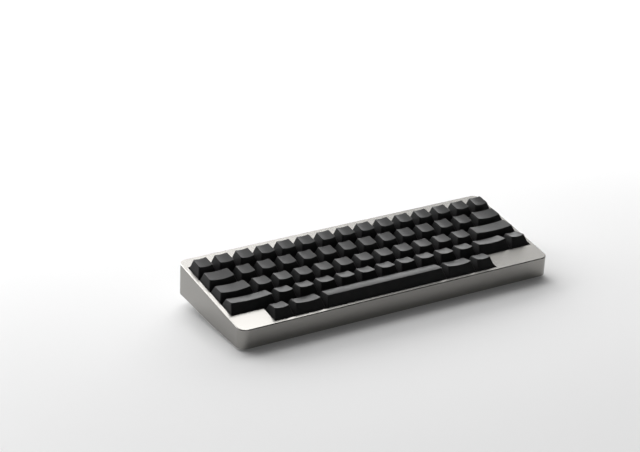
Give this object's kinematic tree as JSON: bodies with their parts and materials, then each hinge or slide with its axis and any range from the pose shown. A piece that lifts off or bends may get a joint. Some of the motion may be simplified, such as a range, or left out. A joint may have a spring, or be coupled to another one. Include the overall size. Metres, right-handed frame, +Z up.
{
  "type": "compact keyboard",
  "caption": "Compact keyboard: a metal wedge case with blank sculpted keys on sprung switches, a wide space bar, a data port in the rear face and upright feet under its rear edge.",
  "frame": {"origin": "on the desk, below the centre of the bounding box of the whole keyboard", "axes": "+X to the right along the longest side, +Y away from the user towards the rear face, +Z up from the desk"},
  "size_m": [0.292, 0.1109, 0.0425],
  "materials": {
    "case": "fine blasted, warm silver grey",
    "bar": "fine blasted",
    "feet": "blasted, dark grey",
    "pads": "matt black",
    "screws": "steel with hexagon sockets",
    "plate": "black powder coat",
    "board": "black solder mask",
    "connector": "plated shell",
    "housings": "moulded, black",
    "springs": "plain wire",
    "wires": "plain wire",
    "keycaps": "fine textured, near black"
  },
  "bodies": {
    "case": {"bottom_cover": "case", "circuit_board": "board", "rear_feet": "feet", "rubber_pads": "pads", "screws": "screws", "stabiliser_housings": "housings", "stabiliser_wires": "wires", "switch_lower_housings": "housings", "switch_plate": "plate", "switch_springs": "springs", "switch_upper_housings": "housings", "top_case": "case", "underside_bar": "bar", "usb_connector": "connector"},
    "number_row": {"number_row_keys": "keycaps"},
    "key_a": {"key_a": "keycaps"},
    "key_alt_left": {"key_alt_left": "keycaps"},
    "key_alt_right": {"key_alt_right": "keycaps"},
    "key_b": {"key_b": "keycaps"},
    "key_bracket_left": {"key_bracket_left": "keycaps"},
    "key_bracket_right": {"key_bracket_right": "keycaps"},
    "key_c": {"key_c": "keycaps"},
    "key_comma": {"key_comma": "keycaps"},
    "key_control": {"key_control": "keycaps"},
    "key_d": {"key_d": "keycaps"},
    "key_delete": {"key_delete": "keycaps"},
    "key_e": {"key_e": "keycaps"},
    "key_f": {"key_f": "keycaps"},
    "key_function": {"key_function": "keycaps"},
    "key_g": {"key_g": "keycaps"},
    "key_h": {"key_h": "keycaps"},
    "key_i": {"key_i": "keycaps"},
    "key_j": {"key_j": "keycaps"},
    "key_k": {"key_k": "keycaps"},
    "key_l": {"key_l": "keycaps"},
    "key_m": {"key_m": "keycaps"},
    "key_meta_left": {"key_meta_left": "keycaps"},
    "key_meta_right": {"key_meta_right": "keycaps"},
    "key_n": {"key_n": "keycaps"},
    "key_o": {"key_o": "keycaps"},
    "key_p": {"key_p": "keycaps"},
    "key_period": {"key_period": "keycaps"},
    "key_q": {"key_q": "keycaps"},
    "key_quote": {"key_quote": "keycaps"},
    "key_r": {"key_r": "keycaps"},
    "key_return": {"key_return": "keycaps"},
    "key_s": {"key_s": "keycaps"},
    "key_semicolon": {"key_semicolon": "keycaps"},
    "key_shift_left": {"key_shift_left": "keycaps"},
    "key_shift_right": {"key_shift_right": "keycaps"},
    "key_slash": {"key_slash": "keycaps"},
    "key_space": {"key_space": "keycaps"},
    "key_t": {"key_t": "keycaps"},
    "key_tab": {"key_tab": "keycaps"},
    "key_u": {"key_u": "keycaps"},
    "key_v": {"key_v": "keycaps"},
    "key_w": {"key_w": "keycaps"},
    "key_x": {"key_x": "keycaps"},
    "key_y": {"key_y": "keycaps"},
    "key_z": {"key_z": "keycaps"}
  },
  "joints": [
    {"name": "number_row_press", "type": "slide", "parent": "case", "child": "number_row", "axis": [0, 0.1736, -0.9848], "range_m": [0, 0.004], "stiffness_N_per_m": 1125, "springref_m": -0.004, "deforming": ["switch_springs"]},
    {"name": "a_press", "type": "slide", "parent": "case", "child": "key_a", "axis": [0, 0.1736, -0.9848], "range_m": [0, 0.004], "stiffness_N_per_m": 75, "springref_m": -0.004, "deforming": ["switch_springs"]},
    {"name": "alt_left_press", "type": "slide", "parent": "case", "child": "key_alt_left", "axis": [0, 0.1736, -0.9848], "range_m": [0, 0.004], "stiffness_N_per_m": 75, "springref_m": -0.004, "deforming": ["switch_springs"]},
    {"name": "alt_right_press", "type": "slide", "parent": "case", "child": "key_alt_right", "axis": [0, 0.1736, -0.9848], "range_m": [0, 0.004], "stiffness_N_per_m": 75, "springref_m": -0.004, "deforming": ["switch_springs"]},
    {"name": "b_press", "type": "slide", "parent": "case", "child": "key_b", "axis": [0, 0.1736, -0.9848], "range_m": [0, 0.004], "stiffness_N_per_m": 75, "springref_m": -0.004, "deforming": ["switch_springs"]},
    {"name": "bracket_left_press", "type": "slide", "parent": "case", "child": "key_bracket_left", "axis": [0, 0.1736, -0.9848], "range_m": [0, 0.004], "stiffness_N_per_m": 75, "springref_m": -0.004, "deforming": ["switch_springs"]},
    {"name": "bracket_right_press", "type": "slide", "parent": "case", "child": "key_bracket_right", "axis": [0, 0.1736, -0.9848], "range_m": [0, 0.004], "stiffness_N_per_m": 75, "springref_m": -0.004, "deforming": ["switch_springs"]},
    {"name": "c_press", "type": "slide", "parent": "case", "child": "key_c", "axis": [0, 0.1736, -0.9848], "range_m": [0, 0.004], "stiffness_N_per_m": 75, "springref_m": -0.004, "deforming": ["switch_springs"]},
    {"name": "comma_press", "type": "slide", "parent": "case", "child": "key_comma", "axis": [0, 0.1736, -0.9848], "range_m": [0, 0.004], "stiffness_N_per_m": 75, "springref_m": -0.004, "deforming": ["switch_springs"]},
    {"name": "control_press", "type": "slide", "parent": "case", "child": "key_control", "axis": [0, 0.1736, -0.9848], "range_m": [0, 0.004], "stiffness_N_per_m": 75, "springref_m": -0.004, "deforming": ["switch_springs"]},
    {"name": "d_press", "type": "slide", "parent": "case", "child": "key_d", "axis": [0, 0.1736, -0.9848], "range_m": [0, 0.004], "stiffness_N_per_m": 75, "springref_m": -0.004, "deforming": ["switch_springs"]},
    {"name": "delete_press", "type": "slide", "parent": "case", "child": "key_delete", "axis": [0, 0.1736, -0.9848], "range_m": [0, 0.004], "stiffness_N_per_m": 75, "springref_m": -0.004, "deforming": ["switch_springs"]},
    {"name": "e_press", "type": "slide", "parent": "case", "child": "key_e", "axis": [0, 0.1736, -0.9848], "range_m": [0, 0.004], "stiffness_N_per_m": 75, "springref_m": -0.004, "deforming": ["switch_springs"]},
    {"name": "f_press", "type": "slide", "parent": "case", "child": "key_f", "axis": [0, 0.1736, -0.9848], "range_m": [0, 0.004], "stiffness_N_per_m": 75, "springref_m": -0.004, "deforming": ["switch_springs"]},
    {"name": "function_press", "type": "slide", "parent": "case", "child": "key_function", "axis": [0, 0.1736, -0.9848], "range_m": [0, 0.004], "stiffness_N_per_m": 75, "springref_m": -0.004, "deforming": ["switch_springs"]},
    {"name": "g_press", "type": "slide", "parent": "case", "child": "key_g", "axis": [0, 0.1736, -0.9848], "range_m": [0, 0.004], "stiffness_N_per_m": 75, "springref_m": -0.004, "deforming": ["switch_springs"]},
    {"name": "h_press", "type": "slide", "parent": "case", "child": "key_h", "axis": [0, 0.1736, -0.9848], "range_m": [0, 0.004], "stiffness_N_per_m": 75, "springref_m": -0.004, "deforming": ["switch_springs"]},
    {"name": "i_press", "type": "slide", "parent": "case", "child": "key_i", "axis": [0, 0.1736, -0.9848], "range_m": [0, 0.004], "stiffness_N_per_m": 75, "springref_m": -0.004, "deforming": ["switch_springs"]},
    {"name": "j_press", "type": "slide", "parent": "case", "child": "key_j", "axis": [0, 0.1736, -0.9848], "range_m": [0, 0.004], "stiffness_N_per_m": 75, "springref_m": -0.004, "deforming": ["switch_springs"]},
    {"name": "k_press", "type": "slide", "parent": "case", "child": "key_k", "axis": [0, 0.1736, -0.9848], "range_m": [0, 0.004], "stiffness_N_per_m": 75, "springref_m": -0.004, "deforming": ["switch_springs"]},
    {"name": "l_press", "type": "slide", "parent": "case", "child": "key_l", "axis": [0, 0.1736, -0.9848], "range_m": [0, 0.004], "stiffness_N_per_m": 75, "springref_m": -0.004, "deforming": ["switch_springs"]},
    {"name": "m_press", "type": "slide", "parent": "case", "child": "key_m", "axis": [0, 0.1736, -0.9848], "range_m": [0, 0.004], "stiffness_N_per_m": 75, "springref_m": -0.004, "deforming": ["switch_springs"]},
    {"name": "meta_left_press", "type": "slide", "parent": "case", "child": "key_meta_left", "axis": [0, 0.1736, -0.9848], "range_m": [0, 0.004], "stiffness_N_per_m": 75, "springref_m": -0.004, "deforming": ["switch_springs"]},
    {"name": "meta_right_press", "type": "slide", "parent": "case", "child": "key_meta_right", "axis": [0, 0.1736, -0.9848], "range_m": [0, 0.004], "stiffness_N_per_m": 75, "springref_m": -0.004, "deforming": ["switch_springs"]},
    {"name": "n_press", "type": "slide", "parent": "case", "child": "key_n", "axis": [0, 0.1736, -0.9848], "range_m": [0, 0.004], "stiffness_N_per_m": 75, "springref_m": -0.004, "deforming": ["switch_springs"]},
    {"name": "o_press", "type": "slide", "parent": "case", "child": "key_o", "axis": [0, 0.1736, -0.9848], "range_m": [0, 0.004], "stiffness_N_per_m": 75, "springref_m": -0.004, "deforming": ["switch_springs"]},
    {"name": "p_press", "type": "slide", "parent": "case", "child": "key_p", "axis": [0, 0.1736, -0.9848], "range_m": [0, 0.004], "stiffness_N_per_m": 75, "springref_m": -0.004, "deforming": ["switch_springs"]},
    {"name": "period_press", "type": "slide", "parent": "case", "child": "key_period", "axis": [0, 0.1736, -0.9848], "range_m": [0, 0.004], "stiffness_N_per_m": 75, "springref_m": -0.004, "deforming": ["switch_springs"]},
    {"name": "q_press", "type": "slide", "parent": "case", "child": "key_q", "axis": [0, 0.1736, -0.9848], "range_m": [0, 0.004], "stiffness_N_per_m": 75, "springref_m": -0.004, "deforming": ["switch_springs"]},
    {"name": "quote_press", "type": "slide", "parent": "case", "child": "key_quote", "axis": [0, 0.1736, -0.9848], "range_m": [0, 0.004], "stiffness_N_per_m": 75, "springref_m": -0.004, "deforming": ["switch_springs"]},
    {"name": "r_press", "type": "slide", "parent": "case", "child": "key_r", "axis": [0, 0.1736, -0.9848], "range_m": [0, 0.004], "stiffness_N_per_m": 75, "springref_m": -0.004, "deforming": ["switch_springs"]},
    {"name": "return_press", "type": "slide", "parent": "case", "child": "key_return", "axis": [0, 0.1736, -0.9848], "range_m": [0, 0.004], "stiffness_N_per_m": 75, "springref_m": -0.004, "deforming": ["switch_springs"]},
    {"name": "s_press", "type": "slide", "parent": "case", "child": "key_s", "axis": [0, 0.1736, -0.9848], "range_m": [0, 0.004], "stiffness_N_per_m": 75, "springref_m": -0.004, "deforming": ["switch_springs"]},
    {"name": "semicolon_press", "type": "slide", "parent": "case", "child": "key_semicolon", "axis": [0, 0.1736, -0.9848], "range_m": [0, 0.004], "stiffness_N_per_m": 75, "springref_m": -0.004, "deforming": ["switch_springs"]},
    {"name": "shift_left_press", "type": "slide", "parent": "case", "child": "key_shift_left", "axis": [0, 0.1736, -0.9848], "range_m": [0, 0.004], "stiffness_N_per_m": 75, "springref_m": -0.004, "deforming": ["switch_springs"]},
    {"name": "shift_right_press", "type": "slide", "parent": "case", "child": "key_shift_right", "axis": [0, 0.1736, -0.9848], "range_m": [0, 0.004], "stiffness_N_per_m": 75, "springref_m": -0.004, "deforming": ["switch_springs"]},
    {"name": "slash_press", "type": "slide", "parent": "case", "child": "key_slash", "axis": [0, 0.1736, -0.9848], "range_m": [0, 0.004], "stiffness_N_per_m": 75, "springref_m": -0.004, "deforming": ["switch_springs"]},
    {"name": "space_press", "type": "slide", "parent": "case", "child": "key_space", "axis": [0, 0.1736, -0.9848], "range_m": [0, 0.004], "stiffness_N_per_m": 75, "springref_m": -0.004, "deforming": ["switch_springs"]},
    {"name": "t_press", "type": "slide", "parent": "case", "child": "key_t", "axis": [0, 0.1736, -0.9848], "range_m": [0, 0.004], "stiffness_N_per_m": 75, "springref_m": -0.004, "deforming": ["switch_springs"]},
    {"name": "tab_press", "type": "slide", "parent": "case", "child": "key_tab", "axis": [0, 0.1736, -0.9848], "range_m": [0, 0.004], "stiffness_N_per_m": 75, "springref_m": -0.004, "deforming": ["switch_springs"]},
    {"name": "u_press", "type": "slide", "parent": "case", "child": "key_u", "axis": [0, 0.1736, -0.9848], "range_m": [0, 0.004], "stiffness_N_per_m": 75, "springref_m": -0.004, "deforming": ["switch_springs"]},
    {"name": "v_press", "type": "slide", "parent": "case", "child": "key_v", "axis": [0, 0.1736, -0.9848], "range_m": [0, 0.004], "stiffness_N_per_m": 75, "springref_m": -0.004, "deforming": ["switch_springs"]},
    {"name": "w_press", "type": "slide", "parent": "case", "child": "key_w", "axis": [0, 0.1736, -0.9848], "range_m": [0, 0.004], "stiffness_N_per_m": 75, "springref_m": -0.004, "deforming": ["switch_springs"]},
    {"name": "x_press", "type": "slide", "parent": "case", "child": "key_x", "axis": [0, 0.1736, -0.9848], "range_m": [0, 0.004], "stiffness_N_per_m": 75, "springref_m": -0.004, "deforming": ["switch_springs"]},
    {"name": "y_press", "type": "slide", "parent": "case", "child": "key_y", "axis": [0, 0.1736, -0.9848], "range_m": [0, 0.004], "stiffness_N_per_m": 75, "springref_m": -0.004, "deforming": ["switch_springs"]},
    {"name": "z_press", "type": "slide", "parent": "case", "child": "key_z", "axis": [0, 0.1736, -0.9848], "range_m": [0, 0.004], "stiffness_N_per_m": 75, "springref_m": -0.004, "deforming": ["switch_springs"]}
  ]
}
